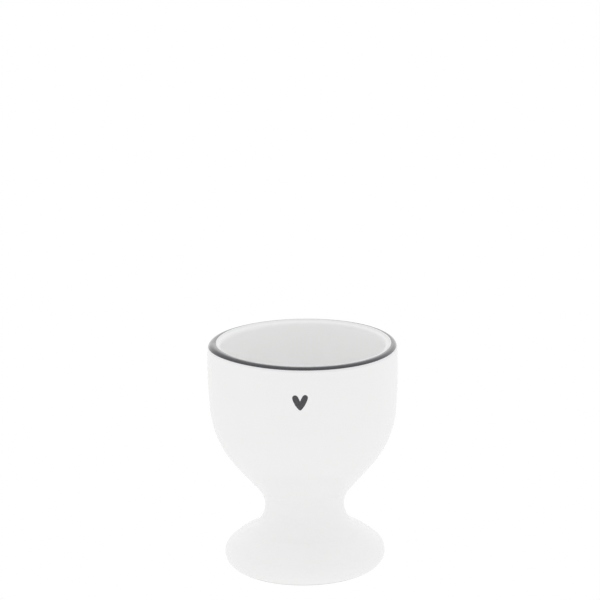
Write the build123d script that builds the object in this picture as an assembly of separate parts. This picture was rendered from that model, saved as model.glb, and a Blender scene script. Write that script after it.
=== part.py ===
from build123d import *
import os
from math import asin, atan2, cos, degrees, radians, sin, sqrt

# Footed egg cup of glazed ceramic.
#
# A round bowl and a hollow, flared foot are formed apart and stuck together at the neck with slip.
# Glaze coats the cup inside, outside and under the foot, and leaves a bare ring of clay to stand on.
# A dark band is painted over the lip, and a small dark heart on the front.
#
# Lengths are in millimetres and angles in degrees. The foot stands on Z = 0 and the heart faces -Y.
# The cup is drawn as one half section, in radius and height, and turned about Z.

# Outside of the bowl
CUP_HEIGHT = 61.8
BOWL_DIAMETER = 50.9        # widest ring of the bowl
BELLY_BELOW_RIM = 6.5       # from the rim down to that ring
BELLY_RADIUS = 145.5        # slow curve of the upper wall
BOWL_CURVE_RADIUS = 26.3    # round turn from the wall into the taper
TAPER_ANGLE = 40.7          # straight lower bowl, measured from upright

# Outside of the neck and foot
NECK_DIAMETER = 21.4
NECK_CURVE_RADIUS = 7.6     # hollow curve of the neck
FOOT_DIAMETER = 43.4
FOOT_DOME_RADIUS = 21.0     # swelling top of the foot
FOOT_EDGE_RADIUS = 3.35     # round edge of the foot
FOOT_RISE = 5.6             # upright room between the neck's round and the edge's round

# Walls and hollows
UPPER_WALL = 3.4            # wall of the upper bowl
LIP_OUTER_RADIUS = 1.25     # tight round outside the lip's crest
LIP_TOP_RADIUS = 3.2        # slow fall from the crest towards the egg
LIP_INNER_RADIUS = 1.2      # round at the mouth
TAPER_WALL = 3.2            # wall of the lower bowl
FOOT_WALL = 4.0
STANDING_RING_WIDTH = 2.2   # flat ring that the cup stands on
HOLLOW_CORNER_RADIUS = 1.5  # inside the foot, above the standing ring

# Joint of the bowl and the foot, at the narrowest part of the neck
SPIGOT_DIAMETER = 12.0      # stub under the bowl that enters the foot
SPIGOT_LENGTH = 2.5
SLIP_THICKNESS = 0.4        # film of slip around the stub and over the top of the foot

# Glaze and paint
GLAZE_THICKNESS = 0.3
BARE_RING_HEIGHT = 0.4      # clay left bare above the table
BAND_OUTER_ANGLE = 58.0     # how far the band turns over the lip, outwards from the crest
BAND_INNER_ANGLE = 9.0      # and inwards from the crest
HEART_WIDTH = 4.1
HEART_HEIGHT = 4.25
HEART_LOBE_RADIUS = 0.75    # top of each stroke
HEART_BELLY_RADIUS = 0.85   # middle of each stroke, where the two strokes meet
HEART_TIP_RADIUS = 0.35
HEART_NOTCH_DEPTH = 1.9     # from the top of the lobes down to where the strokes meet
HEART_BELOW_RIM = 9.2       # from the rim down to the middle of the heart
HEART_OFFSET = -0.8         # the heart sits a little left of the middle


def direction(angle):
    return Vector(cos(radians(angle)), sin(radians(angle)))


def bearing(start, end):
    return degrees(atan2(end.Y - start.Y, end.X - start.X))


def meeting(start, start_reach, end, end_reach):
    """The point at those distances from two centres, on the left of the way from start to end."""
    apart = (end - start).length
    along = (start_reach**2 - end_reach**2 + apart**2) / (2 * apart)
    across = sqrt(start_reach**2 - along**2)
    heading = bearing(start, end)
    return start + direction(heading) * along + direction(heading + 90) * across


def arc(center, radius, start_angle, end_angle):
    return CenterArc(center, radius, start_angle, end_angle - start_angle)


def block(inner, outer, bottom, top):
    size = Rectangle(outer - inner, top - bottom)
    return Pos((inner + outer) / 2, (bottom + top) / 2) * size


# Centres of the round stretches. Each one touches its neighbours without a corner.
belly_center = Vector(BOWL_DIAMETER / 2 - BELLY_RADIUS, CUP_HEIGHT - BELLY_BELOW_RIM)
edge_center = Vector(FOOT_DIAMETER / 2 - FOOT_EDGE_RADIUS, FOOT_EDGE_RADIUS)
neck_center = Vector(
    NECK_DIAMETER / 2 + NECK_CURVE_RADIUS,
    FOOT_EDGE_RADIUS + FOOT_RISE + NECK_CURVE_RADIUS,
)

# The lip is three rounds. The outer one touches the outer face of the wall and reaches up to the crest,
# the top one falls from the crest, and the inner one turns from there into the inner face of the wall.
inner_radius = BELLY_RADIUS - UPPER_WALL
outer_rise = BELLY_BELOW_RIM - LIP_OUTER_RADIUS
crest_reach = sqrt((BELLY_RADIUS - LIP_OUTER_RADIUS) ** 2 - outer_rise**2)
crest = belly_center + Vector(crest_reach, BELLY_BELOW_RIM)
lip_outer_center = crest - Vector(0, LIP_OUTER_RADIUS)
lip_top_center = crest - Vector(0, LIP_TOP_RADIUS)
lip_inner_center = meeting(
    belly_center, inner_radius + LIP_INNER_RADIUS, lip_top_center, LIP_TOP_RADIUS - LIP_INNER_RADIUS
)
lip_outer_angle = bearing(belly_center, lip_outer_center)
lip_top_angle = bearing(lip_top_center, lip_inner_center)
lip_inner_angle = bearing(belly_center, lip_inner_center)

# The taper is a straight line that leaves the neck's round. The bowl's curve touches it and the belly.
taper_normal = direction(-TAPER_ANGLE)
taper_up = direction(90 - TAPER_ANGLE)
taper_level = taper_normal.dot(neck_center) - NECK_CURVE_RADIUS
curve_across = taper_level - BOWL_CURVE_RADIUS - taper_normal.dot(belly_center)
curve_along = sqrt((BELLY_RADIUS - BOWL_CURVE_RADIUS) ** 2 - curve_across**2)
curve_center = belly_center + taper_normal * curve_across + taper_up * curve_along
curve_angle = bearing(belly_center, curve_center)

# The floor of the bowl is part of a ball on the axis. It touches the inner wall,
# and stays one wall away from the taper.
taper_slope = sin(radians(TAPER_ANGLE))
taper_apex = -taper_level / taper_slope
ball_drop = taper_slope * taper_apex + TAPER_WALL
ball_reach = inner_radius + ball_drop
square_term = 1 - taper_slope**2
half_term = taper_slope * ball_reach - belly_center.Y
plain_term = belly_center.X**2 + belly_center.Y**2 - ball_reach**2
ball_height = (sqrt(half_term**2 - square_term * plain_term) - half_term) / square_term
ball_radius = taper_slope * ball_height - ball_drop
ball_center = Vector(0, ball_height)
ball_angle = bearing(belly_center, ball_center)

# The dome of the foot touches the neck's round from below and holds the edge's round inside it.
dome_center = meeting(
    edge_center, FOOT_DOME_RADIUS - FOOT_EDGE_RADIUS, neck_center, NECK_CURVE_RADIUS + FOOT_DOME_RADIUS
)
dome_top_angle = bearing(dome_center, neck_center)
dome_edge_angle = bearing(dome_center, edge_center)

# The hollow of the foot keeps one wall inside the dome and the neck, up to the end of the stub.
joint_height = neck_center.Y
stub_end = joint_height - SPIGOT_LENGTH
ring_inner = edge_center.X - STANDING_RING_WIDTH
hollow_radius = FOOT_DOME_RADIUS - FOOT_WALL
corner_across = ring_inner - HOLLOW_CORNER_RADIUS - dome_center.X
corner_up = sqrt((hollow_radius - HOLLOW_CORNER_RADIUS) ** 2 - corner_across**2)
corner_center = dome_center + Vector(corner_across, corner_up)
corner_angle = bearing(dome_center, corner_center)


def half_section(depth):
    """Half section of the cup, with its whole outline moved into the wall by depth."""
    floor_height = ball_height - ball_radius - depth
    roof_height = stub_end - GLAZE_THICKNESS + depth
    hollow_neck = NECK_CURVE_RADIUS + FOOT_WALL - depth
    roof_angle = 180 - degrees(asin((roof_height - neck_center.Y) / hollow_neck))
    roof_corner = neck_center + direction(roof_angle) * hollow_neck
    ring_face = ring_inner + depth
    outline = [
        arc(ball_center, ball_radius + depth, -90, ball_angle),
        arc(belly_center, inner_radius + depth, ball_angle, lip_inner_angle),
        arc(lip_inner_center, LIP_INNER_RADIUS - depth, lip_inner_angle + 180, lip_top_angle),
        arc(lip_top_center, LIP_TOP_RADIUS - depth, lip_top_angle, 90),
        arc(lip_outer_center, LIP_OUTER_RADIUS - depth, 90, lip_outer_angle),
        arc(belly_center, BELLY_RADIUS - depth, lip_outer_angle, curve_angle),
        arc(curve_center, BOWL_CURVE_RADIUS - depth, curve_angle, -TAPER_ANGLE),
        Line(
            curve_center + taper_normal * (BOWL_CURVE_RADIUS - depth),
            neck_center - taper_normal * (NECK_CURVE_RADIUS + depth),
        ),
        arc(neck_center, NECK_CURVE_RADIUS + depth, 180 - TAPER_ANGLE, 180 + dome_top_angle),
        arc(dome_center, FOOT_DOME_RADIUS - depth, dome_top_angle, dome_edge_angle),
        arc(edge_center, FOOT_EDGE_RADIUS - depth, dome_edge_angle, -90),
        Line((edge_center.X, depth), (ring_face, depth)),
        Line((ring_face, depth), (ring_face, corner_center.Y)),
        arc(corner_center, HOLLOW_CORNER_RADIUS + depth, 0, corner_angle),
        arc(dome_center, hollow_radius + depth, corner_angle, dome_top_angle),
        arc(neck_center, hollow_neck, 180 + dome_top_angle, roof_angle),
        Line(roof_corner, (0, roof_height)),
        Line((0, roof_height), (0, floor_height)),
    ]
    return make_face(outline)


def heart_outline():
    """Two plump strokes that lean together and meet at the tip."""
    half_height = HEART_HEIGHT / 2
    lobe = Vector(HEART_WIDTH / 2 - HEART_LOBE_RADIUS, half_height - HEART_LOBE_RADIUS)
    notch_height = half_height - HEART_NOTCH_DEPTH
    tip = Pos(0, HEART_TIP_RADIUS - half_height) * Circle(HEART_TIP_RADIUS)
    strokes = []
    for side in (-1, 1):
        top = Pos(side * lobe.X, lobe.Y) * Circle(HEART_LOBE_RADIUS)
        belly = Pos(side * HEART_BELLY_RADIUS, notch_height) * Circle(HEART_BELLY_RADIUS)
        strokes.append(make_hull([*top.edges(), *belly.edges(), *tip.edges()]))
    return Pos(HEART_OFFSET, CUP_HEIGHT - HEART_BELOW_RIM) * (strokes[0] + strokes[1])


def band_wedge():
    """Wedge about the lip's outer and top rounds that takes in the painted part of its glaze."""
    reach = 2 * UPPER_WALL
    outer_edge = lip_outer_center + direction(90 - BAND_OUTER_ANGLE) * reach
    inner_edge = lip_top_center + direction(90 + BAND_INNER_ANGLE) * reach
    above = crest + Vector(0, reach)
    corners = [lip_top_center, lip_outer_center, outer_edge, above, inner_edge]
    return make_face(Polyline(*corners, close=True))


def turned(section):
    return revolve(Plane.XZ * section, Axis.Z)


# Clay: everything inside the glaze, and the whole of the standing ring
skin = half_section(0)
core = half_section(GLAZE_THICKNESS)
clay = core + (skin & block(0, FOOT_DIAMETER, 0, BARE_RING_HEIGHT))

stub_radius = SPIGOT_DIAMETER / 2
above_joint = block(0, BOWL_DIAMETER, joint_height, CUP_HEIGHT)
stub = block(0, stub_radius, stub_end, joint_height)
film_over_foot = block(stub_radius, BOWL_DIAMETER, joint_height - SLIP_THICKNESS, joint_height)
film_around_stub = block(stub_radius, stub_radius + SLIP_THICKNESS, stub_end, joint_height)

bowl_section = clay & (above_joint + stub)
slip_section = clay & (film_over_foot + film_around_stub)
foot_section = clay - bowl_section - slip_section

# Glaze: one coat under the foot, and one over the rest that the painted band parts in two
coat = (skin - core) & block(0, BOWL_DIAMETER, BARE_RING_HEIGHT, CUP_HEIGHT)
hollow_coat, cup_coat = coat.faces().sort_by(lambda face: face.bounding_box().max.Y)
band_section = cup_coat & band_wedge()
inner_coat, outer_coat = (cup_coat - band_wedge()).faces().sort_by(lambda face: face.bounding_box().min.X)

# The heart fills a window of its own shape in the glaze on the front.
outer_glaze = turned(outer_coat)
heart_window = extrude(Plane.XZ * heart_outline(), BOWL_DIAMETER)

pieces = {
    "bowl": turned(bowl_section),
    "foot": turned(foot_section),
    "slip_joint": turned(slip_section),
    "inner_glaze": turned(inner_coat),
    "outer_glaze": outer_glaze - heart_window,
    "underfoot_glaze": turned(hollow_coat),
    "rim_band": turned(band_section),
    "heart": outer_glaze & heart_window,
}

os.makedirs("parts", exist_ok=True)
for name, piece in pieces.items():
    export_step(piece, f"parts/{name}.step")
    print(name, "volume", round(piece.volume, 1))
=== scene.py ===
# %% [markdown]
# # A painted egg cup, dressed over its solid model
#
# The solid model holds the cup's construction: a clay bowl and foot, the slip between them, a coat of
# glaze, and two painted marks. This lesson gives those coats and marks the surface of the real cup.
# The clay itself stays as it is, because all of it but the standing ring lies under the glaze.

# %% Load the solid model
import math
from collections import namedtuple

import bmesh
import bpy
from mathutils import Matrix, Vector


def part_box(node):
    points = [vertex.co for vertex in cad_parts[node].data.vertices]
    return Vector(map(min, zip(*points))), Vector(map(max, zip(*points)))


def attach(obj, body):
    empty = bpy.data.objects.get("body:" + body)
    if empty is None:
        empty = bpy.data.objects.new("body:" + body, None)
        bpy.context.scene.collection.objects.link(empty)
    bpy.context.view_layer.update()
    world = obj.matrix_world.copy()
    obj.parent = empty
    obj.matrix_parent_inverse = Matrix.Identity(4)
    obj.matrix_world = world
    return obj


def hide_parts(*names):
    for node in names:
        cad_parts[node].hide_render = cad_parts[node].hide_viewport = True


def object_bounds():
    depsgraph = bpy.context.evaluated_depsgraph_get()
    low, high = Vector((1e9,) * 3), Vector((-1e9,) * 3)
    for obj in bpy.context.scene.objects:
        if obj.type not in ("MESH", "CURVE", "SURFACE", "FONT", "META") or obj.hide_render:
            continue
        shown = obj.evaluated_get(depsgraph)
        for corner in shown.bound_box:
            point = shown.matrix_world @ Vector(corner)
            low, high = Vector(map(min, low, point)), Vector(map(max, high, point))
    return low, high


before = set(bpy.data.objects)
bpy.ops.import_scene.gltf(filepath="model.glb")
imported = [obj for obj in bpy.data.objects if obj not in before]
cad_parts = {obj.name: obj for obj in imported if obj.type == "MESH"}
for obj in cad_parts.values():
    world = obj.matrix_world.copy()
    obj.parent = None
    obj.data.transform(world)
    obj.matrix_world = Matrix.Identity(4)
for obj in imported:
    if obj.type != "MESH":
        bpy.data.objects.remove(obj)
cad_low, cad_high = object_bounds()
print("solid model, mm:", [round(1000 * side, 2) for side in cad_high - cad_low])

# %% [markdown]
# ## Sizes
#
# The overall sizes are read from the solid model, so that the coats land on the clay. The radii of the
# outline's round stretches can't be read from a box, so they are written here, once, in millimetres.

# %% Driving sizes
MM = 0.001
CUP_HEIGHT = cad_high.z
BOWL_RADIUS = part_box("outer_glaze")[1].x
BARE_RING_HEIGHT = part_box("outer_glaze")[0].z
STUB_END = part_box("bowl")[0].z
GLAZE = 0.3 * MM
FOOT_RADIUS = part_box("foot")[1].x + GLAZE

BELLY_BELOW_RIM = 6.5 * MM
BELLY_RADIUS = 145.5 * MM
BOWL_CURVE_RADIUS = 26.3 * MM
TAPER_ANGLE = 40.7
NECK_RADIUS = 10.7 * MM
NECK_CURVE_RADIUS = 7.6 * MM
FOOT_DOME_RADIUS = 21.0 * MM
FOOT_EDGE_RADIUS = 3.35 * MM
FOOT_RISE = 5.6 * MM
UPPER_WALL = 3.4 * MM
LIP_OUTER_RADIUS = 1.25 * MM
LIP_TOP_RADIUS = 3.2 * MM
LIP_INNER_RADIUS = 1.2 * MM
TAPER_WALL = 3.2 * MM
FOOT_WALL = 4.0 * MM
STANDING_RING_WIDTH = 2.2 * MM
HOLLOW_CORNER_RADIUS = 1.5 * MM
POOL_RADIUS = 0.8 * MM
print("cup", round(CUP_HEIGHT / MM, 2), "high, bowl", round(2 * BOWL_RADIUS / MM, 2), "wide")

# %% [markdown]
# ## The outline as touching rounds
#
# A turned form is drawn as half a section, in radius and height. This one is a chain of round stretches
# that touch without a corner, and one straight taper. A hand-drawn spline could look the same from one
# side, but touching rounds keep the true radii, and the same chain gives the hidden back of each coat:
# it only takes a larger or smaller radius about the same centre. The lip has three rounds: a tight one
# outside its crest, a slow one that falls towards the egg, and a tight one again at the mouth.


# %% Centres of the outer rounds
def direction(angle):
    return Vector((math.cos(math.radians(angle)), math.sin(math.radians(angle))))


def bearing(start, end):
    return math.degrees(math.atan2(end.y - start.y, end.x - start.x))


def meeting(start, start_reach, end, end_reach):
    """The point at those distances from two centres, on the left of the way from start to end."""
    apart = (end - start).length
    along = (start_reach**2 - end_reach**2 + apart**2) / (2 * apart)
    across = math.sqrt(start_reach**2 - along**2)
    heading = bearing(start, end)
    return start + direction(heading) * along + direction(heading + 90) * across


belly_center = Vector((BOWL_RADIUS - BELLY_RADIUS, CUP_HEIGHT - BELLY_BELOW_RIM))
edge_center = Vector((FOOT_RADIUS - FOOT_EDGE_RADIUS, FOOT_EDGE_RADIUS))
neck_height = FOOT_EDGE_RADIUS + FOOT_RISE + NECK_CURVE_RADIUS
neck_center = Vector((NECK_RADIUS + NECK_CURVE_RADIUS, neck_height))

inner_radius = BELLY_RADIUS - UPPER_WALL
outer_rise = BELLY_BELOW_RIM - LIP_OUTER_RADIUS
crest_reach = math.sqrt((BELLY_RADIUS - LIP_OUTER_RADIUS) ** 2 - outer_rise**2)
crest = belly_center + Vector((crest_reach, BELLY_BELOW_RIM))
lip_outer_center = crest - Vector((0.0, LIP_OUTER_RADIUS))
lip_top_center = crest - Vector((0.0, LIP_TOP_RADIUS))
lip_inner_center = meeting(
    belly_center, inner_radius + LIP_INNER_RADIUS, lip_top_center, LIP_TOP_RADIUS - LIP_INNER_RADIUS
)
lip_outer_angle = bearing(belly_center, lip_outer_center)
lip_inner_angle = bearing(belly_center, lip_inner_center)
lip_top_angle = bearing(lip_top_center, lip_inner_center)

taper_normal = direction(-TAPER_ANGLE)
taper_level = taper_normal.dot(neck_center) - NECK_CURVE_RADIUS
curve_across = taper_level - BOWL_CURVE_RADIUS - taper_normal.dot(belly_center)
curve_along = math.sqrt((BELLY_RADIUS - BOWL_CURVE_RADIUS) ** 2 - curve_across**2)
curve_center = belly_center + taper_normal * curve_across + direction(90 - TAPER_ANGLE) * curve_along
curve_angle = bearing(belly_center, curve_center)

dome_center = meeting(
    edge_center, FOOT_DOME_RADIUS - FOOT_EDGE_RADIUS, neck_center, NECK_CURVE_RADIUS + FOOT_DOME_RADIUS
)
dome_top_angle = bearing(dome_center, neck_center)
dome_edge_angle = bearing(dome_center, edge_center)
print("neck is", round(2 * NECK_RADIUS / MM, 2), "mm wide at a height of", round(neck_height / MM, 2))

# %% [markdown]
# ## The bowl's floor and the hollow foot
#
# Inside, the bowl ends in part of a ball that touches the wall, and that stays one wall away from the
# taper. Under the foot, the hollow keeps one wall inside the dome and the neck, and ends at the stub of
# the bowl. Glaze gathers in the corner there, so a small round fills it.

# %% Centres of the inner rounds
taper_slope = math.sin(math.radians(TAPER_ANGLE))
ball_drop = TAPER_WALL - taper_level
square_term = 1 - taper_slope**2
half_term = taper_slope * (inner_radius + ball_drop) - belly_center.y
plain_term = belly_center.length_squared - (inner_radius + ball_drop) ** 2
ball_height = (math.sqrt(half_term**2 - square_term * plain_term) - half_term) / square_term
ball_radius = taper_slope * ball_height - ball_drop
ball_center = Vector((0.0, ball_height))
ball_angle = bearing(belly_center, ball_center)

ring_inner = edge_center.x - STANDING_RING_WIDTH
hollow_radius = FOOT_DOME_RADIUS - FOOT_WALL
corner_across = ring_inner - HOLLOW_CORNER_RADIUS - dome_center.x
corner_up = math.sqrt((hollow_radius - HOLLOW_CORNER_RADIUS) ** 2 - corner_across**2)
corner_center = dome_center + Vector((corner_across, corner_up))
corner_angle = bearing(dome_center, corner_center)

roof_height = STUB_END - GLAZE
hollow_neck = NECK_CURVE_RADIUS + FOOT_WALL
pool_height = roof_height - POOL_RADIUS
pool_reach = math.sqrt((hollow_neck + POOL_RADIUS) ** 2 - (neck_center.y - pool_height) ** 2)
pool_center = Vector((neck_center.x - pool_reach, pool_height))
pool_angle = bearing(pool_center, neck_center)

floor_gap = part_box("inner_glaze")[0].z - (ball_height - ball_radius - GLAZE)
print("bowl floor is off the solid model's by", round(floor_gap / MM, 4), "mm")

# %% [markdown]
# ## Points along the outline
#
# Each stretch says on which side of its centre the clay lies, so that one function can walk the glaze's
# face, at depth 0, and its hidden back, one coat deeper. Points sit closer together on the tight rounds
# of the lip and the foot's edge, where a coarse step would show as corners.

# %% Walk the outline
Stretch = namedtuple("Stretch", "center radius start end side")
CLAY_INSIDE = 1
CLAY_OUTSIDE = -1
FINEST_TURN = 6.0
LONGEST_STEP = 0.6 * MM
BEAD_STEPS = 6


def straight(start, end):
    """Points from start to end, without the start."""
    steps = math.ceil((end - start).length / LONGEST_STEP)
    return [start.lerp(end, (i + 1) / steps) for i in range(steps)]


def walk(stretches, depth):
    """Points along a chain of stretches, moved into the clay by depth."""
    points = []
    for stretch in stretches:
        radius = stretch.radius - stretch.side * depth
        turn = stretch.end - stretch.start
        length = abs(math.radians(turn)) * radius
        steps = max(math.ceil(abs(turn) / FINEST_TURN), math.ceil(length / LONGEST_STEP))
        bend = [stretch.center + direction(stretch.start + turn * i / steps) * radius
                for i in range(steps + 1)]
        points += straight(points[-1], bend[0]) if points else bend[:1]
        points += bend[1:]
    return points


def bead(face_end, back_end, turn):
    """Half round that closes the edge of a coat, from its face to its back."""
    middle = (face_end + back_end) / 2
    reach = (face_end - back_end).length / 2
    start = bearing(middle, face_end)
    return [middle + direction(start + turn * i / BEAD_STEPS) * reach for i in range(1, BEAD_STEPS)]


glaze_line = BARE_RING_HEIGHT + GLAZE / 2
glaze_line_angle = math.degrees(math.asin((glaze_line - edge_center.y) / FOOT_EDGE_RADIUS))
OUTSIDE = [
    Stretch(lip_outer_center, LIP_OUTER_RADIUS, 90, lip_outer_angle, CLAY_INSIDE),
    Stretch(belly_center, BELLY_RADIUS, lip_outer_angle, curve_angle, CLAY_INSIDE),
    Stretch(curve_center, BOWL_CURVE_RADIUS, curve_angle, -TAPER_ANGLE, CLAY_INSIDE),
    Stretch(neck_center, NECK_CURVE_RADIUS, 180 - TAPER_ANGLE, 180 + dome_top_angle, CLAY_OUTSIDE),
    Stretch(dome_center, FOOT_DOME_RADIUS, dome_top_angle, dome_edge_angle, CLAY_INSIDE),
    Stretch(edge_center, FOOT_EDGE_RADIUS, dome_edge_angle, glaze_line_angle, CLAY_INSIDE),
]
INSIDE = [
    Stretch(ball_center, ball_radius, -90, ball_angle, CLAY_OUTSIDE),
    Stretch(belly_center, inner_radius, ball_angle, lip_inner_angle, CLAY_OUTSIDE),
    Stretch(lip_inner_center, LIP_INNER_RADIUS, lip_inner_angle + 180, lip_top_angle, CLAY_INSIDE),
    Stretch(lip_top_center, LIP_TOP_RADIUS, lip_top_angle, 90, CLAY_INSIDE),
]
UNDERFOOT = [
    Stretch(corner_center, HOLLOW_CORNER_RADIUS, 0, corner_angle, CLAY_OUTSIDE),
    Stretch(dome_center, hollow_radius, corner_angle, dome_top_angle, CLAY_OUTSIDE),
    Stretch(neck_center, hollow_neck, 180 + dome_top_angle, 180 + pool_angle, CLAY_INSIDE),
    Stretch(pool_center, POOL_RADIUS, pool_angle, 90, CLAY_OUTSIDE),
]
print("points down the outside:", len(walk(OUTSIDE, 0)))

# %% [markdown]
# ## Building node trees from short calls
#
# Node trees made by script read best when each node is one call. `feed` links a socket or sets it,
# `add_node` makes a node with its inputs, and `reckon` is a Math node that hands back its result. A few
# sums come up in several trees, so they get names of their own.


# %% Node helpers
def feed(tree, socket, value):
    """Link a node's output into a socket, or set the socket to a plain value."""
    if isinstance(value, bpy.types.NodeSocket):
        tree.links.new(value, socket)
    else:
        socket.default_value = value


def add_node(tree, kind, inputs=None, **settings):
    node = tree.nodes.new(kind)
    for name, value in settings.items():
        setattr(node, name, value)
    for name, value in (inputs or {}).items():
        feed(tree, node.inputs[name], value)
    return node


def reckon(tree, operation, *values):
    node = tree.nodes.new("ShaderNodeMath")
    node.operation = operation
    for socket, value in zip(node.inputs, values):
        feed(tree, socket, value)
    return node.outputs["Value"]


def new_tree(kind, name, inputs, outputs):
    """A node group with named sockets. Gives back the tree, its inputs and its output node."""
    tree = bpy.data.node_groups.new(name, kind)
    for label, (socket_type, value) in inputs.items():
        socket = tree.interface.new_socket(label, in_out="INPUT", socket_type=socket_type)
        if value is not None:
            socket.default_value = value
    for label, socket_type in outputs.items():
        tree.interface.new_socket(label, in_out="OUTPUT", socket_type=socket_type)
    given = tree.nodes.new("NodeGroupInput").outputs
    return tree, given, tree.nodes.new("NodeGroupOutput")


FLOAT = "NodeSocketFloat"
INTEGER = "NodeSocketInt"
GEOMETRY = "NodeSocketGeometry"
MATERIAL = "NodeSocketMaterial"
print("node helpers are ready")


# %% Sums for several trees
def away_from(tree, value, middle):
    return reckon(tree, "ABSOLUTE", reckon(tree, "SUBTRACT", value, middle))


def ramp(tree, value, none_at, full_at, full=1.0, kind="LINEAR"):
    """0 where the value is none_at, rising to full where it is full_at."""
    node = add_node(
        tree, "ShaderNodeMapRange",
        {"Value": value, "From Min": none_at, "From Max": full_at, "To Max": full},
        interpolation_type=kind,
    )
    return node.outputs["Result"]


def ease(tree, value, none_at, full_at, full=1.0):
    """A ramp with a soft start and end."""
    return ramp(tree, value, none_at, full_at, full, "SMOOTHSTEP")


def spread(tree, mask, low, high):
    """Map a mask of 0 to 1 onto low to high."""
    node = add_node(tree, "ShaderNodeMapRange", {"Value": mask, "To Min": low, "To Max": high})
    return node.outputs["Result"]


print("sums are ready")

# %% [markdown]
# ## What the kiln does to a surface
#
# No fired surface is even. Broad clouds come from glaze that lies thicker here and thinner there, a fine
# grain from the clay below, and now and then a pinhole. The glaze, the paint and the bare clay all show
# this, each in its own measure, so it is one shader group with three masks. Object coordinates are in
# metres here, so a scale of 100 makes features about a centimetre wide.

# %% Kiln marks, a group for every finish
kiln_marks, given, result = new_tree(
    "ShaderNodeTree",
    "kiln_marks",
    {
        "Cloud Scale": (FLOAT, 90.0),
        "Grain Scale": (FLOAT, 1500.0),
        "Speck Scale": (FLOAT, 260.0),
        "Speck Radius": (FLOAT, 0.05),
        "Speck Share": (FLOAT, 0.1),
    },
    {"Clouds": FLOAT, "Grain": FLOAT, "Specks": FLOAT},
)
place = add_node(kiln_marks, "ShaderNodeTexCoord").outputs["Object"]
clouds = add_node(
    kiln_marks, "ShaderNodeTexNoise", {"Vector": place, "Scale": given["Cloud Scale"], "Detail": 2.0}
)
grain = add_node(
    kiln_marks, "ShaderNodeTexNoise", {"Vector": place, "Scale": given["Grain Scale"], "Detail": 3.0}
)
cells = add_node(kiln_marks, "ShaderNodeTexVoronoi", {"Vector": place, "Scale": given["Speck Scale"]})
chosen = add_node(kiln_marks, "ShaderNodeSeparateColor", {"Color": cells.outputs["Color"]}).outputs["Red"]
is_chosen = reckon(kiln_marks, "LESS_THAN", chosen, given["Speck Share"])
is_near = reckon(kiln_marks, "LESS_THAN", cells.outputs["Distance"], given["Speck Radius"])
feed(kiln_marks, result.inputs["Clouds"], clouds.outputs["Fac"])
feed(kiln_marks, result.inputs["Grain"], grain.outputs["Fac"])
feed(kiln_marks, result.inputs["Specks"], reckon(kiln_marks, "MULTIPLY", is_chosen, is_near))
print("kiln marks:", [socket.name for socket in kiln_marks.interface.items_tree])


# %% Parts that every finish shares
GLASS_IOR = 1.5
MIX_FIRST, MIX_SECOND, MIX_RESULT = 6, 7, 2


def start_finish(name, marks):
    """A new material with its kiln marks. Gives back the material, its tree, shader and mark sockets."""
    material = bpy.data.materials.new(name)
    material.use_nodes = True
    tree = material.node_tree
    group = add_node(tree, "ShaderNodeGroup", node_tree=kiln_marks)
    for label, value in marks.items():
        group.inputs[label].default_value = value
    return material, tree, tree.nodes["Principled BSDF"], group.outputs


def blend_colors(tree, factor, first, second):
    """Mix two colours. Numbers pick the Mix node's colour sockets, because their names repeat."""
    node = add_node(tree, "ShaderNodeMix", {"Factor": factor}, data_type="RGBA")
    feed(tree, node.inputs[MIX_FIRST], first)
    feed(tree, node.inputs[MIX_SECOND], second)
    return node.outputs[MIX_RESULT]


def bump(tree, shader, height, depth):
    node = add_node(tree, "ShaderNodeBump", {"Height": height, "Strength": 1.0, "Distance": depth})
    feed(tree, shader.inputs["Normal"], node.outputs["Normal"])


def attribute(tree, name):
    return add_node(tree, "ShaderNodeAttribute", attribute_name=name).outputs["Fac"]


print("finishes can be started")

# %% [markdown]
# ## White glaze
#
# The glaze is a clear, glossy skin over a white body, so it is a pale base colour under a smooth
# dielectric reflection. Its clouds shift the colour by about one part in a hundred, which is what the eye
# takes for depth, and they also ripple the reflection. A rare pinhole is a little darker. Glaze runs
# while it is hot: it pools at the neck and inside the bowl, and takes up a little paint beside the band.
# Where it pools it is painted whiter, partly for the pooling and partly as painted light, which lifts the
# shade in the hollow of the neck and in the bowl. The round of the mouth is painted greyer, most on the
# right: that is painted shade. It could all be painted into a texture, but each of these follows the
# height, which every coat carries as a `level` attribute, so a few ramps do it. The deep coat inside the
# bowl has a satin gloss: a sharp one would draw a dark tick at each end of the mouth, where the wall is
# seen edge on.

# %% White glaze
GLAZE_THICK = (0.945, 0.945, 0.943, 1.0)
GLAZE_THIN = (0.920, 0.920, 0.917, 1.0)
# Whiter glaze where it pools: partly real pooling, partly painted light in shaded hollows.
GLAZE_POOLED_AND_LIT = (0.985, 0.985, 0.982, 1.0)
GLAZE_STAINED = (0.83, 0.83, 0.84, 1.0)
# Painted shade over the round of the mouth.
GLAZE_PAINTED_SHADE = (0.855, 0.855, 0.853, 1.0)
PINHOLE = (0.78, 0.77, 0.75, 1.0)
GLOSSY = (0.05, 0.11)
SATIN = (0.36, 0.44)
GLAZE_RIPPLE = 0.02 * MM
# Where the glaze is painted whiter: partly pooling, partly painted light.
PoolAndLight = namedtuple("PoolAndLight", "height full_within none_beyond share")
Stain = namedtuple("Stain", "top bottom")
# Where painted shade greys the round of the mouth, most on the right.
Thin = namedtuple("Thin", "height reach none_left full_right")


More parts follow.
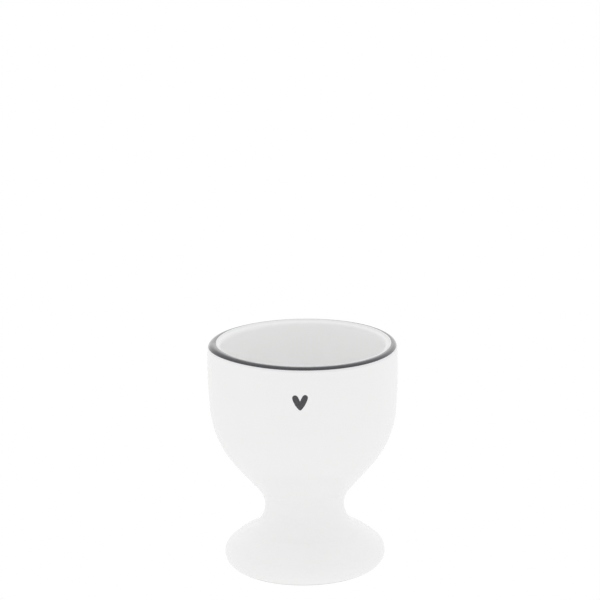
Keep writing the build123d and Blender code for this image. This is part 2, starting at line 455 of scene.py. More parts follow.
def glaze_finish(name, pool_and_light, stain, roughness, mouth_shade=None):
    """A shiny white, whiter where it pools about one height (partly painted light), stained near the top,
    and with painted shade over an edge.
    """
    material, tree, shader, marks = start_finish(
        name, {"Cloud Scale": 70.0, "Grain Scale": 900.0, "Speck Radius": 0.03, "Speck Share": 0.06}
    )
    level = attribute(tree, "level")
    away = away_from(tree, level, pool_and_light.height)
    # Whiter where the glaze pools: partly real pooling, partly painted light that lifts the shade there.
    pooled_and_lit = ease(tree, away, pool_and_light.none_beyond, pool_and_light.full_within, pool_and_light.share)
    color = blend_colors(tree, marks["Clouds"], GLAZE_THICK, GLAZE_THIN)
    color = blend_colors(tree, pooled_and_lit, color, GLAZE_POOLED_AND_LIT)
    color = blend_colors(tree, ease(tree, level, stain.bottom, stain.top), color, GLAZE_STAINED)
    # Painted shade: the round of the mouth goes greyer, most on the right.
    if mouth_shade:
        place = add_node(tree, "ShaderNodeTexCoord").outputs["Object"]
        sideways = add_node(tree, "ShaderNodeSeparateXYZ", {"Vector": place}).outputs["X"]
        to_right = ramp(tree, sideways, mouth_shade.none_left, mouth_shade.full_right)
        on_edge = ease(tree, away_from(tree, level, mouth_shade.height), mouth_shade.reach, 0.0)
        color = blend_colors(tree, reckon(tree, "MULTIPLY", to_right, on_edge), color, GLAZE_PAINTED_SHADE)
    feed(tree, shader.inputs["Base Color"], blend_colors(tree, marks["Specks"], color, PINHOLE))
    feed(tree, shader.inputs["Roughness"], spread(tree, marks["Grain"], *roughness))
    shader.inputs["IOR"].default_value = GLASS_IOR
    bump(tree, shader, marks["Clouds"], GLAZE_RIPPLE)
    return material


floor_height = ball_height - ball_radius
# Outside, the glaze is whiter about the neck: partly pooling, partly painted light in the neck's shade.
outer_glaze = glaze_finish(
    "white_glaze",
    PoolAndLight(height=neck_height, full_within=2.0 * MM, none_beyond=15.0 * MM, share=0.35),
    Stain(top=CUP_HEIGHT - 0.6 * MM, bottom=CUP_HEIGHT - 1.5 * MM),
    GLOSSY,
)
# Inside, the bowl below the lip is whiter: partly pooling, partly painted light in the bowl's shade.
inner_glaze = glaze_finish(
    "pooled_and_lit_glaze",
    PoolAndLight(height=floor_height, full_within=36.8 * MM, none_beyond=37.8 * MM, share=0.75),
    Stain(top=CUP_HEIGHT - 0.05 * MM, bottom=CUP_HEIGHT - 0.35 * MM),
    SATIN,
    # Painted shade on the round of the mouth, growing towards the right.
    Thin(height=CUP_HEIGHT - 0.8 * MM, reach=0.65 * MM, none_left=-12.0 * MM, full_right=22.0 * MM),
)
print("made", outer_glaze.name, "and", inner_glaze.name)

# %% [markdown]
# ## Charcoal paint
#
# The band and the heart are brushed on in a dark slip colour and fired under the same gloss. Brushed
# paint is never one tone: it is streaky, and it thins towards its edges. The band carries an `across`
# attribute for that, 0 along the middle of the stroke and 1 at its edges. A `doubled` attribute says
# where the brush went over its own start, because paint that lies double takes less of the gloss. The
# heart has neither, so both read as 0 there.

# %% Charcoal paint
PAINT_FULL = (0.001, 0.001, 0.005, 1.0)
PAINT_THIN = (0.030, 0.030, 0.042, 1.0)
PAINT_EDGE = (0.10, 0.10, 0.10, 1.0)
STREAK_LOW, STREAK_HIGH = 0.35, 0.65
EDGE_START = 0.92
DOUBLED_GLOSS = 0.25
PAINT_ROUGHNESS = (0.08, 0.16)
COAT_ROUGHNESS = 0.05
PAINT_RIPPLE = 0.012 * MM

dark_paint, tree, shader, marks = start_finish(
    "dark_paint", {"Cloud Scale": 420.0, "Grain Scale": 2600.0, "Speck Radius": 0.0, "Speck Share": 0.0}
)
edge = ramp(tree, attribute(tree, "across"), EDGE_START, 1.0)
streaks = ramp(tree, marks["Grain"], STREAK_LOW, STREAK_HIGH)
brushed = blend_colors(tree, streaks, PAINT_FULL, PAINT_THIN)
feed(tree, shader.inputs["Base Color"], blend_colors(tree, edge, brushed, PAINT_EDGE))
feed(tree, shader.inputs["Roughness"], spread(tree, marks["Grain"], *PAINT_ROUGHNESS))
feed(tree, shader.inputs["Coat Weight"], spread(tree, attribute(tree, "doubled"), 1.0, DOUBLED_GLOSS))
shader.inputs["IOR"].default_value = GLASS_IOR
shader.inputs["Coat Roughness"].default_value = COAT_ROUGHNESS
bump(tree, shader, marks["Clouds"], PAINT_RIPPLE)
print("made", dark_paint.name)

# %% [markdown]
# ## Bare clay
#
# Under the foot the clay is left bare, so that the cup doesn't stick to the kiln shelf. It is matt and a
# little warm, with a fine sandy grain and dark specks. The slip between bowl and foot is the same clay
# let down with water, so it takes the same finish in a slightly deeper tone.

# %% Bare clay and slip
CLAY_PALE = (0.87, 0.855, 0.83, 1.0)
CLAY_DEEP = (0.82, 0.80, 0.765, 1.0)
SLIP_PALE = (0.82, 0.80, 0.77, 1.0)
SLIP_DEEP = (0.77, 0.745, 0.71, 1.0)
CLAY_SPECK = (0.45, 0.40, 0.34, 1.0)
SPECK_STRENGTH = 0.5
CLAY_ROUGHNESS = (0.75, 0.95)
CLAY_GRAIN = 0.05 * MM


def clay_finish(name, pale, deep):
    material, tree, shader, marks = start_finish(
        name, {"Cloud Scale": 160.0, "Grain Scale": 3200.0, "Speck Scale": 700.0,
               "Speck Radius": 0.12, "Speck Share": 0.12}
    )
    specks = reckon(tree, "MULTIPLY", marks["Specks"], SPECK_STRENGTH)
    sandy = blend_colors(tree, marks["Grain"], pale, deep)
    feed(tree, shader.inputs["Base Color"], blend_colors(tree, specks, sandy, CLAY_SPECK))
    feed(tree, shader.inputs["Roughness"], spread(tree, marks["Clouds"], *CLAY_ROUGHNESS))
    bump(tree, shader, marks["Grain"], CLAY_GRAIN)
    return material


fired_clay = clay_finish("fired_clay", CLAY_PALE, CLAY_DEEP)
fired_slip = clay_finish("fired_slip", SLIP_PALE, SLIP_DEEP)
for node_name, finish in (("bowl", fired_clay), ("foot", fired_clay), ("slip_joint", fired_slip)):
    clay_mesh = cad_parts[node_name].data
    clay_mesh.materials.clear()
    clay_mesh.materials.append(finish)
print("clay finish on the bowl, the foot and the slip")

# %% [markdown]
# ## What the kiln does to the shape
#
# No cup leaves the kiln quite round. A slow noise moves each coat in and out by a few hundredths of a
# millimetre, and the rim leans, tilts and twists a little, with one corner that stands half a millimetre
# high. Coats and paint all read the same noise and the same warp at the same place, so their edges meet.

# %% Kiln warp
LUMPS_PER_METRE = 45.0
RIM_LEAN = -0.13 * MM     # the whole rim, to the left
RIM_TILT = -0.17 * MM     # down on the right, up on the left
RIM_TWIST = 0.13 * MM     # up at the front left and the back right
RIM_CORNER = 0.85 * MM    # up at the front left
RIM_DIP = 0.10 * MM       # down on the left
RIM_PINCH = 0.13 * MM     # in on the left, close to the crest
PINCH_DEPTH = 3.0 * MM


def square(tree, value):
    return reckon(tree, "MULTIPLY", value, value)


def rim_warp(tree, position):
    """How the kiln moves a point near the rim."""
    axes = add_node(tree, "ShaderNodeSeparateXYZ", {"Vector": position}).outputs
    across = reckon(tree, "DIVIDE", axes["X"], BOWL_RADIUS)
    behind = reckon(tree, "DIVIDE", axes["Y"], BOWL_RADIUS)
    left = reckon(tree, "MAXIMUM", reckon(tree, "MULTIPLY", across, -1.0), 0.0)
    ahead = reckon(tree, "MAXIMUM", reckon(tree, "MULTIPLY", behind, -1.0), 0.0)
    left_share = square(tree, left)
    twist = reckon(tree, "MULTIPLY", reckon(tree, "MULTIPLY", across, behind), 2 * RIM_TWIST)
    corner = reckon(tree, "MULTIPLY_ADD", ahead, RIM_CORNER, -RIM_DIP)
    lift = reckon(tree, "MULTIPLY_ADD", across, RIM_TILT, twist)
    lift = reckon(tree, "MULTIPLY_ADD", left_share, corner, lift)
    near_lip = ease(tree, axes["Z"], CUP_HEIGHT - PINCH_DEPTH, CUP_HEIGHT - LIP_OUTER_RADIUS / 2)
    pinch = reckon(tree, "MULTIPLY", left_share, near_lip)
    lean = reckon(tree, "MULTIPLY_ADD", pinch, RIM_PINCH, RIM_LEAN)
    moved = add_node(tree, "ShaderNodeCombineXYZ", {"X": lean, "Z": lift}).outputs["Vector"]
    near_rim = ease(tree, axes["Z"], CUP_HEIGHT / 2, CUP_HEIGHT)
    scaled = add_node(tree, "ShaderNodeVectorMath", {0: moved, "Scale": near_rim}, operation="SCALE")
    return scaled.outputs["Vector"]


def out_of_round(tree, geometry, amount, seed):
    """Move a geometry as the kiln does: in or out by a slow noise, and as the rim warps."""
    position = add_node(tree, "GeometryNodeInputPosition").outputs["Position"]
    noise = add_node(
        tree, "ShaderNodeTexNoise",
        {"Vector": position, "W": seed, "Scale": LUMPS_PER_METRE, "Detail": 1.0}, noise_dimensions="4D",
    )
    push = reckon(tree, "MULTIPLY", reckon(tree, "SUBTRACT", noise.outputs["Fac"], 0.5), amount)
    flat = add_node(tree, "ShaderNodeVectorMath", {0: position, 1: (1.0, 1.0, 0.0)}, operation="MULTIPLY")
    outward = add_node(tree, "ShaderNodeVectorMath", {0: flat.outputs["Vector"]}, operation="NORMALIZE")
    offset = add_node(
        tree, "ShaderNodeVectorMath", {0: outward.outputs["Vector"], "Scale": push}, operation="SCALE"
    )
    both = add_node(
        tree, "ShaderNodeVectorMath", {0: offset.outputs["Vector"], 1: rim_warp(tree, position)},
        operation="ADD",
    )
    moved = add_node(
        tree, "GeometryNodeSetPosition", {"Geometry": geometry, "Offset": both.outputs["Vector"]}
    )
    return moved.outputs["Geometry"]


print("rim leans by", round(abs(RIM_LEAN) / MM, 2), "mm")

# %% [markdown]
# ## A lathe in Geometry Nodes
#
# A coat of glaze is its section turned about the upright axis. Spinning it in edit mode would do, but a
# tree keeps the rule: a circle carries the turn, the section carries radius and height, and one Set
# Position puts every point where both say. The height is stored as `level`, for the glaze to read.


# %% Helpers for trees that turn
def captured(tree, geometry, kind, label, field):
    """Store a field on a geometry's points. Gives back the geometry and the stored value."""
    node = add_node(tree, "GeometryNodeCaptureAttribute", {"Geometry": geometry})
    node.capture_items.new(kind, label)
    feed(tree, node.inputs[label], field)
    return node.outputs["Geometry"], node.outputs[label]


def stored(tree, geometry, name, value):
    """Keep a value on a geometry's points under a name that a material can read."""
    node = add_node(
        tree, "GeometryNodeStoreNamedAttribute", {"Geometry": geometry, "Name": name, "Value": value},
        data_type="FLOAT", domain="POINT",
    )
    return node.outputs["Geometry"]


def turned_position(tree, turn, radius, height):
    """Position at a share of a full turn about the upright axis."""
    angle = reckon(tree, "MULTIPLY", turn, 2 * math.pi)
    parts = {
        "X": reckon(tree, "MULTIPLY", radius, reckon(tree, "COSINE", angle)),
        "Y": reckon(tree, "MULTIPLY", radius, reckon(tree, "SINE", angle)),
        "Z": height,
    }
    return add_node(tree, "ShaderNodeCombineXYZ", parts).outputs["Vector"]


def finish_tree(tree, geometry, material, result):
    """Smooth shading, real geometry and a finish end every tree."""
    smooth = add_node(tree, "GeometryNodeSetShadeSmooth", {"Geometry": geometry})
    real = add_node(tree, "GeometryNodeRealizeInstances", {"Geometry": smooth.outputs["Geometry"]})
    node = add_node(
        tree, "GeometryNodeSetMaterial", {"Geometry": real.outputs["Geometry"], "Material": material}
    )
    feed(tree, result.inputs["Geometry"], node.outputs["Geometry"])


print("helpers for turning are ready")

# %% Lathe tree
POLE_GAP = 0.001 * MM
lathe, given, result = new_tree(
    "GeometryNodeTree",
    "turned_coat",
    {
        "Geometry": (GEOMETRY, None),
        "Around": (INTEGER, 192),
        "Out of Round": (FLOAT, 0.0),
        "Seed": (INTEGER, 0),
        "Finish": (MATERIAL, None),
    },
    {"Geometry": GEOMETRY},
)
place = add_node(lathe, "GeometryNodeInputPosition").outputs["Position"]
section, section_place = captured(lathe, given["Geometry"], "VECTOR", "Section", place)
ring = add_node(lathe, "GeometryNodeCurvePrimitiveCircle", {"Resolution": given["Around"]})
factor = add_node(lathe, "GeometryNodeSplineParameter").outputs["Factor"]
ring_curve, turn = captured(lathe, ring.outputs["Curve"], "FLOAT", "Turn", factor)
swept = add_node(lathe, "GeometryNodeCurveToMesh", {"Curve": ring_curve, "Profile Curve": section})
section_axes = add_node(lathe, "ShaderNodeSeparateXYZ", {"Vector": section_place}).outputs
turned = add_node(
    lathe, "GeometryNodeSetPosition",
    {
        "Geometry": swept.outputs["Mesh"],
        "Position": turned_position(lathe, turn, section_axes["X"], section_axes["Z"]),
    },
)
closed = add_node(
    lathe, "GeometryNodeMergeByDistance", {"Geometry": turned.outputs["Geometry"], "Distance": POLE_GAP}
)
leveled = stored(lathe, closed.outputs["Geometry"], "level", section_axes["Z"])
lumpy = out_of_round(lathe, leveled, given["Out of Round"], given["Seed"])
finish_tree(lathe, lumpy, given["Finish"], result)
print("lathe tree:", len(lathe.nodes), "nodes")

# %% [markdown]
# ## From a tree to a plain piece
#
# A tree's result lives on the object that carries it, where no other tool can take hold of it. So the
# result is read back as a plain mesh with its faces outwards, and the carrier is removed.


# %% From a tree to a plain piece
def run_tree(host, tree, settings):
    """Put a tree on a host object, with its inputs set by their identifiers."""
    bpy.context.scene.collection.objects.link(host)
    modifier = host.modifiers.new(tree.name, "NODES")
    modifier.node_group = tree
    sockets = [item for item in tree.interface.items_tree if item.in_out == "INPUT"]
    identifiers = {socket.name: socket.identifier for socket in sockets}
    for label, value in settings.items():
        modifier[identifiers[label]] = value


def plain_piece(host, name):
    """The host's result as a plain mesh with its faces outwards. The host is removed; its tree stays."""
    bpy.context.view_layer.update()
    depsgraph = bpy.context.evaluated_depsgraph_get()
    mesh = bpy.data.meshes.new_from_object(
        host.evaluated_get(depsgraph), preserve_all_data_layers=True, depsgraph=depsgraph
    )
    bpy.data.objects.remove(host)
    work = bmesh.new()
    work.from_mesh(mesh)
    bmesh.ops.recalc_face_normals(work, faces=work.faces)
    open_edges = sum(not edge.is_manifold for edge in work.edges)
    work.to_mesh(mesh)
    work.free()
    mesh.name = name
    piece = bpy.data.objects.new(name, mesh)
    bpy.context.scene.collection.objects.link(piece)
    print(name, "has", len(mesh.polygons), "faces and", open_edges, "open edges")
    return piece


print("trees can be made plain")

# %% Turn a section into a coat
AROUND = 192
OUT_OF_ROUND = 0.10 * MM
COAT_SEED = 7


def section_curve(name, points, closed):
    """A section drawn as a curve, with radius along X and height along Z."""
    curve = bpy.data.curves.new(name, "CURVE")
    curve.dimensions = "3D"
    spline = curve.splines.new("POLY")
    spline.points.add(len(points) - 1)
    for knot, point in zip(spline.points, points):
        knot.co = (point.x, 0.0, point.y, 1.0)
    spline.use_cyclic_u = closed
    return bpy.data.objects.new(name, curve)


def turn_coat(name, points, closed, finish):
    host = section_curve(name + "_section", points, closed)
    settings = {"Around": AROUND, "Out of Round": OUT_OF_ROUND, "Seed": COAT_SEED, "Finish": finish}
    run_tree(host, lathe, settings)
    return plain_piece(host, name)


print("coats turn in", AROUND, "steps")

# %% [markdown]
# ## The three coats
#
# The outer coat runs from the crest of the lip down to a rounded edge just above the table. The inner
# coat fills the bowl from the crest to the middle of the floor. A third coat lines the hollow of the
# foot. Each section goes out along the face and comes back along the hidden side, so every coat is a
# closed shell. The white goes on under the painted band, so the band's uneven edges never show a gap.

# %% Turn the coats
outer_face = walk(OUTSIDE, 0)
outer_back = walk(OUTSIDE, GLAZE)
outer_section = outer_face + bead(outer_face[-1], outer_back[-1], -180) + outer_back[::-1]
outer_coat = turn_coat("outer_glaze_coat", outer_section, True, outer_glaze)

inner_section = walk(INSIDE, 0) + walk(INSIDE, GLAZE)[::-1]
inner_coat = turn_coat("inner_glaze_coat", inner_section, False, inner_glaze)


def underfoot_side(depth):
    """One side of the coat under the foot, from its edge at the standing ring to the axis."""
    foot_end = Vector((ring_inner + depth, glaze_line))
    bends = walk(UNDERFOOT, depth)
    roof_middle = Vector((0.0, bends[-1].y))
    return [foot_end] + straight(foot_end, bends[0]) + bends[1:] + straight(bends[-1], roof_middle)


underfoot_face = underfoot_side(0)
underfoot_back = underfoot_side(GLAZE)
underfoot_edge = bead(underfoot_face[0], underfoot_back[0], 180)
underfoot_section = underfoot_face[::-1] + underfoot_edge + underfoot_back
underfoot_coat = turn_coat("underfoot_glaze_coat", underfoot_section, False, outer_glaze)

# %% [markdown]
# ## The painted band
#
# The rim was painted by hand while the cup turned: the brush laid a wet stroke over the lip that is
# thickest along its middle and thins out to nothing at both edges. Outside, its edge runs nearly level.
# Inside, it reaches further down at the front than at the back. Where the stroke runs over its own start,
# on the left, the band is wider on both sides and the paint lies double. A tree makes it as a ring whose
# cross-section is a flat lens bent round the lip, with edges that drift and waver around the ring.

# %% Band tree: a lens around a ring
band_tree, given, result = new_tree(
    "GeometryNodeTree",
    "painted_band",
    {
        "Geometry": (GEOMETRY, None),
        "Crest Radius": (FLOAT, 0.0),
        "Crest Height": (FLOAT, 0.0),
        "Outer Round": (FLOAT, 0.0),
        "Top Round": (FLOAT, 0.0),
        "Thickness": (FLOAT, 0.0),
        "Outer Edge": (FLOAT, 0.0),
        "Outer Drift": (FLOAT, 0.0),
        "Inner Edge": (FLOAT, 0.0),
        "Inner Drift": (FLOAT, 0.0),
        "Drift Turn": (FLOAT, 0.0),
        "Overlap": (FLOAT, 0.0),
        "Overlap Outside": (FLOAT, 1.0),
        "Overlap Turn": (FLOAT, 0.0),
        "Overlap Reach": (FLOAT, 0.1),
        "Doubled Turn": (FLOAT, 0.0),
        "Doubled Reach": (FLOAT, 0.1),
        "Waver": (FLOAT, 0.0),
        "Around": (INTEGER, 256),
        "Across": (INTEGER, 28),
        "Out of Round": (FLOAT, 0.0),
        "Seed": (INTEGER, 0),
        "Finish": (MATERIAL, None),
    },
    {"Geometry": GEOMETRY},
)
factor = add_node(band_tree, "GeometryNodeSplineParameter").outputs["Factor"]
ring = add_node(band_tree, "GeometryNodeCurvePrimitiveCircle", {"Resolution": given["Around"]})
ring_curve, turn = captured(band_tree, ring.outputs["Curve"], "FLOAT", "Turn", factor)
lens = add_node(band_tree, "GeometryNodeCurvePrimitiveCircle", {"Resolution": given["Across"]})
lens_curve, lens_turn = captured(band_tree, lens.outputs["Curve"], "FLOAT", "Lens", factor)
swept = add_node(band_tree, "GeometryNodeCurveToMesh", {"Curve": ring_curve, "Profile Curve": lens_curve})
lens_angle = reckon(band_tree, "MULTIPLY", lens_turn, 2 * math.pi)
lens_across = reckon(band_tree, "COSINE", lens_angle)
lens_rise = reckon(band_tree, "MULTIPLY", reckon(band_tree, "SINE", lens_angle), given["Thickness"])
print("band tree has", len(band_tree.interface.items_tree), "sockets")

# %% Band tree: its two edges
WAVER_SCALE = 3.0
WAVER_DETAIL = 3.0
INNER_SEED_STEP = 5.0


def edge_waver(seed):
    """Noise around the ring that closes on itself, because it is read on a circle."""
    circle = turned_position(band_tree, turn, 1.0, 0.0)
    noise = add_node(
        band_tree, "ShaderNodeTexNoise",
        {"Vector": circle, "W": seed, "Scale": WAVER_SCALE, "Detail": WAVER_DETAIL},
        noise_dimensions="4D",
    )
    swing = reckon(band_tree, "SUBTRACT", noise.outputs["Fac"], 0.5)
    return reckon(band_tree, "MULTIPLY", swing, given["Waver"])


def fades_around(middle, reach):
    """1 at one turn of the ring, falling off to 0 at a reach to both sides."""
    return ease(band_tree, away_from(band_tree, turn, middle), reach, 0.0)


def edge_reach(side, widening, seed):
    """How far one edge lies from the crest, as an angle about the lip's round."""
    drifted = reckon(band_tree, "MULTIPLY_ADD", drift_wave, given[side + " Drift"], given[side + " Edge"])
    widened = reckon(band_tree, "ADD", drifted, widening)
    return reckon(band_tree, "ADD", widened, edge_waver(seed))


drift_turn = reckon(band_tree, "SUBTRACT", turn, given["Drift Turn"])
drift_wave = reckon(band_tree, "COSINE", reckon(band_tree, "MULTIPLY", drift_turn, 2 * math.pi))
overlap = fades_around(given["Overlap Turn"], given["Overlap Reach"])
doubled = fades_around(given["Doubled Turn"], given["Doubled Reach"])
inner_widening = reckon(band_tree, "MULTIPLY", overlap, given["Overlap"])
outer_widening = reckon(band_tree, "MULTIPLY", inner_widening, given["Overlap Outside"])
inner_seed = reckon(band_tree, "ADD", given["Seed"], INNER_SEED_STEP)
outer_reach = edge_reach("Outer", outer_widening, given["Seed"])
inner_reach = edge_reach("Inner", inner_widening, inner_seed)
print("band edges take", len(band_tree.nodes), "nodes so far")

# %% Band tree: bent round the lip
half_width = reckon(band_tree, "MULTIPLY", reckon(band_tree, "ADD", outer_reach, inner_reach), 0.5)
middle = reckon(band_tree, "MULTIPLY", reckon(band_tree, "SUBTRACT", outer_reach, inner_reach), 0.5)
lip_turn = reckon(band_tree, "MULTIPLY_ADD", half_width, lens_across, middle)
is_outside = reckon(band_tree, "GREATER_THAN", lip_turn, 0.0)
round_step = reckon(band_tree, "SUBTRACT", given["Outer Round"], given["Top Round"])
lip_round = reckon(band_tree, "MULTIPLY_ADD", is_outside, round_step, given["Top Round"])
lip_reach = reckon(band_tree, "ADD", lip_round, lens_rise)
lip_middle = reckon(band_tree, "SUBTRACT", given["Crest Height"], lip_round)
lip_sine = reckon(band_tree, "SINE", lip_turn)
lip_cosine = reckon(band_tree, "COSINE", lip_turn)
band_radius = reckon(band_tree, "MULTIPLY_ADD", lip_reach, lip_sine, given["Crest Radius"])
band_height = reckon(band_tree, "MULTIPLY_ADD", lip_reach, lip_cosine, lip_middle)
band_place = turned_position(band_tree, turn, band_radius, band_height)
laid = add_node(
    band_tree, "GeometryNodeSetPosition", {"Geometry": swept.outputs["Mesh"], "Position": band_place}
)
marked = stored(band_tree, laid.outputs["Geometry"], "across", reckon(band_tree, "ABSOLUTE", lens_across))
marked = stored(band_tree, marked, "doubled", doubled)
lumpy = out_of_round(band_tree, marked, given["Out of Round"], COAT_SEED)
finish_tree(band_tree, lumpy, given["Finish"], result)
print("band tree:", len(band_tree.nodes), "nodes")

# %% Paint the band
band_host = bpy.data.objects.new("band_host", bpy.data.meshes.new("band_host"))
band_settings = {
    "Crest Radius": crest.x,
    "Crest Height": crest.y,
    "Outer Round": LIP_OUTER_RADIUS,
    "Top Round": LIP_TOP_RADIUS,
    "Thickness": 0.05 * MM,
    "Outer Edge": math.radians(57),
    "Outer Drift": math.radians(3.5),
    "Inner Edge": math.radians(4.5),
    "Inner Drift": math.radians(9.5),
    "Drift Turn": 0.78,
    "Overlap": math.radians(17.5),
    "Overlap Outside": 0.58,
    "Overlap Turn": 0.55,
    "Overlap Reach": 0.21,
    "Doubled Turn": 0.565,
    "Doubled Reach": 0.09,
    "Waver": math.radians(2),
    "Out of Round": OUT_OF_ROUND,
    "Seed": 3,
    "Finish": dark_paint,
}
run_tree(band_host, band_tree, band_settings)
band = plain_piece(band_host, "rim_band_paint")

# %% [markdown]
# ## The painted heart
#
# The heart is two short, plump brush strokes that start apart and meet at the tip, the right one a touch
# higher than the left. Each stroke is a line with a width, drawn flat in front of the cup. The tree lays
# a lens across each line, wraps it on the bowl, and joins the two into one patch of paint.

# %% Heart tree: a lens along each stroke
heart_tree, given, result = new_tree(
    "GeometryNodeTree",
    "painted_heart",
    {
        "Geometry": (GEOMETRY, None),
        "Thickness": (FLOAT, 0.0),
        "Round End": (FLOAT, 0.2),
        "Wall Radius": (FLOAT, 0.0),
        "Belly Radius": (FLOAT, 0.0),
        "Belly Height": (FLOAT, 0.0),
        "Along": (INTEGER, 40),
        "Across": (INTEGER, 28),
        "Out of Round": (FLOAT, 0.0),
        "Finish": (MATERIAL, None),
    },
    {"Geometry": GEOMETRY},
)
stroke = add_node(
    heart_tree, "GeometryNodeResampleCurve", {"Curve": given["Geometry"], "Count": given["Along"]}
)
factor = add_node(heart_tree, "GeometryNodeSplineParameter").outputs["Factor"]
place = add_node(heart_tree, "GeometryNodeInputPosition").outputs["Position"]
tangent = add_node(heart_tree, "GeometryNodeInputTangent").outputs["Tangent"]
radius = add_node(heart_tree, "GeometryNodeInputRadius").outputs["Radius"]
stroke_curve, along = captured(heart_tree, stroke.outputs["Curve"], "FLOAT", "Along", factor)
stroke_curve, line = captured(heart_tree, stroke_curve, "VECTOR", "Line", place)
stroke_curve, heading = captured(heart_tree, stroke_curve, "VECTOR", "Heading", tangent)
stroke_curve, breadth = captured(heart_tree, stroke_curve, "FLOAT", "Breadth", radius)
lens = add_node(heart_tree, "GeometryNodeCurvePrimitiveCircle", {"Resolution": given["Across"]})
lens_curve, lens_turn = captured(heart_tree, lens.outputs["Curve"], "FLOAT", "Lens", factor)
swept = add_node(
    heart_tree, "GeometryNodeCurveToMesh", {"Curve": stroke_curve, "Profile Curve": lens_curve}
)
print("heart tree has", len(heart_tree.interface.items_tree), "sockets")


# %% Heart tree: the flat stroke
def third_side(tree, longest, other):
    """The third side of a right-angled triangle."""
    return reckon(tree, "SQRT", reckon(tree, "SUBTRACT", square(tree, longest), square(tree, other)))


def round_end(share):
    """Width of a half round at a share of the stroke from its end, 1 beyond the round."""
    left = reckon(heart_tree, "SUBTRACT", 1.0, reckon(heart_tree, "DIVIDE", share, given["Round End"]))
    return third_side(heart_tree, 1.0, reckon(heart_tree, "MAXIMUM", left, 0.0))


from_tip = reckon(heart_tree, "SUBTRACT", 1.0, along)
ends = reckon(heart_tree, "MULTIPLY", round_end(along), round_end(from_tip))
half_width = reckon(heart_tree, "MULTIPLY", breadth, ends)
lens_angle = reckon(heart_tree, "MULTIPLY", lens_turn, 2 * math.pi)
lens_across = reckon(heart_tree, "COSINE", lens_angle)
sideways = reckon(heart_tree, "MULTIPLY", half_width, lens_across)
lens_rise = reckon(heart_tree, "MULTIPLY", reckon(heart_tree, "SINE", lens_angle), given["Thickness"])
lens_rise = reckon(heart_tree, "MULTIPLY", lens_rise, ends)
line_axes = add_node(heart_tree, "ShaderNodeSeparateXYZ", {"Vector": line}).outputs
heading_axes = add_node(heart_tree, "ShaderNodeSeparateXYZ", {"Vector": heading}).outputs
flat_x = reckon(heart_tree, "MULTIPLY_ADD", heading_axes["Z"], sideways, line_axes["X"])
drop = reckon(heart_tree, "MULTIPLY", heading_axes["X"], sideways)
flat_z = reckon(heart_tree, "SUBTRACT", line_axes["Z"], drop)
print("flat strokes take", len(heart_tree.nodes), "nodes so far")

# %% Heart tree: wrapped on the bowl
rise = reckon(heart_tree, "SUBTRACT", flat_z, given["Belly Height"])
bulge = third_side(heart_tree, given["Belly Radius"], rise)
set_back = reckon(heart_tree, "SUBTRACT", bulge, given["Belly Radius"])
wall = reckon(heart_tree, "ADD", set_back, given["Wall Radius"])
depth = third_side(heart_tree, wall, flat_x)
front = reckon(heart_tree, "MULTIPLY", reckon(heart_tree, "ADD", depth, lens_rise), -1.0)
on_wall = add_node(heart_tree, "ShaderNodeCombineXYZ", {"X": flat_x, "Y": front, "Z": flat_z})
laid = add_node(
    heart_tree, "GeometryNodeSetPosition",
    {"Geometry": swept.outputs["Mesh"], "Position": on_wall.outputs["Vector"]},
)
closed = add_node(
    heart_tree, "GeometryNodeMergeByDistance",
    {"Geometry": laid.outputs["Geometry"], "Distance": POLE_GAP},
)
joined = add_node(
    heart_tree, "GeometryNodeMeshBoolean",
    {"Mesh 2": closed.outputs["Geometry"], "Self Intersection": True}, operation="UNION", solver="EXACT",
)
lumpy = out_of_round(heart_tree, joined.outputs["Mesh"], given["Out of Round"], COAT_SEED)
finish_tree(heart_tree, lumpy, given["Finish"], result)
print("heart tree:", len(heart_tree.nodes), "nodes")

# %% Paint the heart
HEART_LEFT = -0.8 * MM
HEART_BELOW_RIM = 9.2 * MM
# Each knot of a stroke is its place across and up from the heart's middle, and half its width there.
STROKES = {
    "left": [
        ((-1.49, 1.94), 0.70), ((-1.00, 0.67), 0.84), ((-0.50, -0.52), 0.78), ((0.03, -2.13), 0.24),
    ],
    "right": [
        ((1.66, 2.06), 0.68), ((1.09, 0.67), 0.81), ((0.54, -0.52), 0.78), ((0.06, -2.13), 0.24),
    ],
}
heart_curve = bpy.data.curves.new("heart_strokes", "CURVE")
heart_curve.dimensions = "3D"
for knots in STROKES.values():
    spline = heart_curve.splines.new("BEZIER")
    spline.bezier_points.add(len(knots) - 1)
    for knot, ((across_mm, up_mm), breadth_mm) in zip(spline.bezier_points, knots):
        height = CUP_HEIGHT - HEART_BELOW_RIM + up_mm * MM
        knot.co = (HEART_LEFT + across_mm * MM, 0.0, height)
        knot.radius = breadth_mm * MM
        knot.handle_left_type = "AUTO"
        knot.handle_right_type = "AUTO"
heart_host = bpy.data.objects.new("heart_host", heart_curve)
heart_settings = {
    "Thickness": 0.06 * MM,
    "Round End": 0.17,
    "Wall Radius": BOWL_RADIUS,
    "Belly Radius": BELLY_RADIUS,
    "Belly Height": belly_center.y,
    "Out of Round": OUT_OF_ROUND,
    "Finish": dark_paint,
}
run_tree(heart_host, heart_tree, heart_settings)
heart = plain_piece(heart_host, "heart_paint")

# %% [markdown]
# ## Put each piece in place of its solid
#
# Every new piece hides the solid it stands for and rides on the cup's one body.

# %% Ride on the cup
STANDS_FOR = {
    "outer_glaze": (outer_coat, "white_glaze"),
    "inner_glaze": (inner_coat, "white_glaze"),
    "underfoot_glaze": (underfoot_coat, "white_glaze"),
    "rim_band": (band, "dark_paint"),
    "heart": (heart, "dark_paint"),
}
for node_name, (piece, slot_name) in STANDS_FOR.items():
    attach(piece, "root")
    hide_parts(node_name)
    print(piece.name, "stands for", node_name)

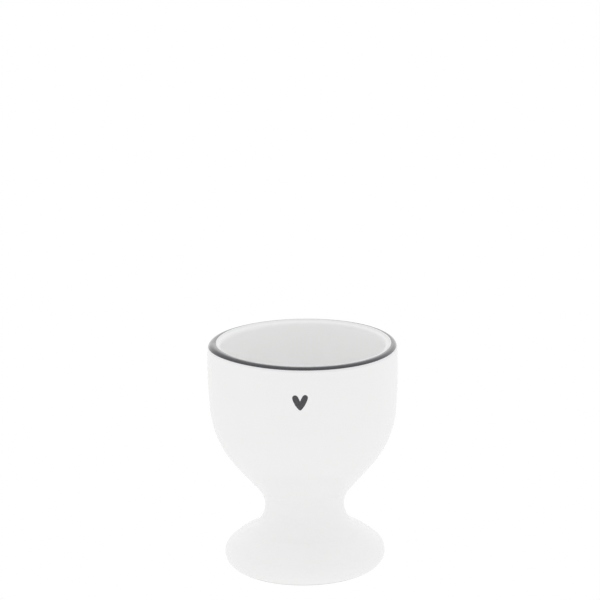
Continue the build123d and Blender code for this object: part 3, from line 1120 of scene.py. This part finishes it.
# %% [markdown]
# ## Floor and light
#
# The cup stands in a light tent: white above, around and below, with no shadow to speak of. A white world
# gives that light, a little brighter behind the cup and a little dimmer above it, and the floor glows as
# the walls do. The lens sees the tent as pure white, as in a picture that is exposed until its background
# is gone. The floor can only be seen from above, so that the underside of the foot can be looked at too.
# It lies a hair below the standing ring, because two faces in one plane flicker.

# %% Floor
FLOOR_LIGHT = 0.938
FLOOR_SIDE = 6.0
FLOOR_LEVEL = -0.05 * MM


def tent_strength(tree, light):
    """Pure white for the lens, and the tent's real light for everything it falls on."""
    seen = add_node(tree, "ShaderNodeLightPath").outputs["Is Camera Ray"]
    return spread(tree, seen, light, 1.0)


floor_mesh = bpy.data.meshes.new("floor")
half = FLOOR_SIDE / 2
corners = [(x, y, FLOOR_LEVEL) for x, y in ((-half, -half), (half, -half), (half, half), (-half, half))]
floor_mesh.from_pydata(corners, [], [(0, 1, 2, 3)])
floor = bpy.data.objects.new("floor", floor_mesh)
bpy.context.scene.collection.objects.link(floor)

floor_finish = bpy.data.materials.new("tent_floor")
floor_finish.use_nodes = True
tree = floor_finish.node_tree
tree.nodes.remove(tree.nodes["Principled BSDF"])
glow = add_node(tree, "ShaderNodeEmission", {"Strength": tent_strength(tree, FLOOR_LIGHT)})
clear = add_node(tree, "ShaderNodeBsdfTransparent")
from_below = add_node(tree, "ShaderNodeNewGeometry").outputs["Backfacing"]
sided = add_node(
    tree, "ShaderNodeMixShader",
    {0: from_below, 1: glow.outputs["Emission"], 2: clear.outputs["BSDF"]},
)
feed(tree, tree.nodes["Material Output"].inputs["Surface"], sided.outputs["Shader"])
floor_mesh.materials.append(floor_finish)
print("floor is", FLOOR_SIDE, "m wide")

# %% Light
TENT_LIGHT = 0.950
BRIGHTER_BEHIND = 0.065
DIMMER_ABOVE = 0.03
WHITE = (1.0, 1.0, 1.0, 1.0)

world = bpy.data.worlds.new("light_tent")
world.use_nodes = True
tree = world.node_tree
heading = add_node(tree, "ShaderNodeTexCoord").outputs["Generated"]
heading_axes = add_node(tree, "ShaderNodeSeparateXYZ", {"Vector": heading}).outputs
wall_light = reckon(tree, "MULTIPLY_ADD", heading_axes["Y"], BRIGHTER_BEHIND, TENT_LIGHT)
upward = reckon(tree, "MAXIMUM", heading_axes["Z"], 0.0)
tent_light = reckon(tree, "MULTIPLY_ADD", upward, -DIMMER_ABOVE, wall_light)
tree.nodes["Background"].inputs["Color"].default_value = WHITE
feed(tree, tree.nodes["Background"].inputs["Strength"], tent_strength(tree, tent_light))
bpy.context.scene.world = world
bpy.context.scene.view_settings.view_transform = "Standard"
print("light tent is up")

# %% [markdown]
# ## Camera
#
# The picture was taken from a little above the rim with a long lens. The camera stands at that distance
# and height, and is then turned so that the middle of the cup lands on its place in the picture.

# %% Camera
PICTURE_SIDE = 600.0
CUP_IN_PICTURE = Vector((303.95, 452.65))
CAMERA_DISTANCE = 0.700
CAMERA_RISE = 17.85
CAMERA_ROLL = -0.67
FOCAL_PIXELS = 2588.4

cup_middle = Vector((0.0, 0.0, CUP_HEIGHT / 2))
rise = math.radians(CAMERA_RISE)
eye = cup_middle + CAMERA_DISTANCE * Vector((0.0, -math.cos(rise), math.sin(rise)))
camera_data = bpy.data.cameras.new("camera")
camera_data.lens = FOCAL_PIXELS / PICTURE_SIDE * camera_data.sensor_width
camera = bpy.data.objects.new("camera", camera_data)
bpy.context.scene.collection.objects.link(camera)
bpy.context.scene.camera = camera

aim = Vector(((CUP_IN_PICTURE.x - PICTURE_SIDE / 2) / FOCAL_PIXELS,
              (PICTURE_SIDE / 2 - CUP_IN_PICTURE.y) / FOCAL_PIXELS, -1.0))
look = (cup_middle - eye).to_track_quat("-Z", "Y").to_matrix()
roll = Matrix.Rotation(math.radians(CAMERA_ROLL), 3, "Z")
off_centre = aim.rotation_difference(Vector((0.0, 0.0, -1.0))).to_matrix()
camera.matrix_world = Matrix.Translation(eye) @ (look @ roll @ off_centre).to_4x4()
print("lens", round(camera_data.lens, 1), "mm")
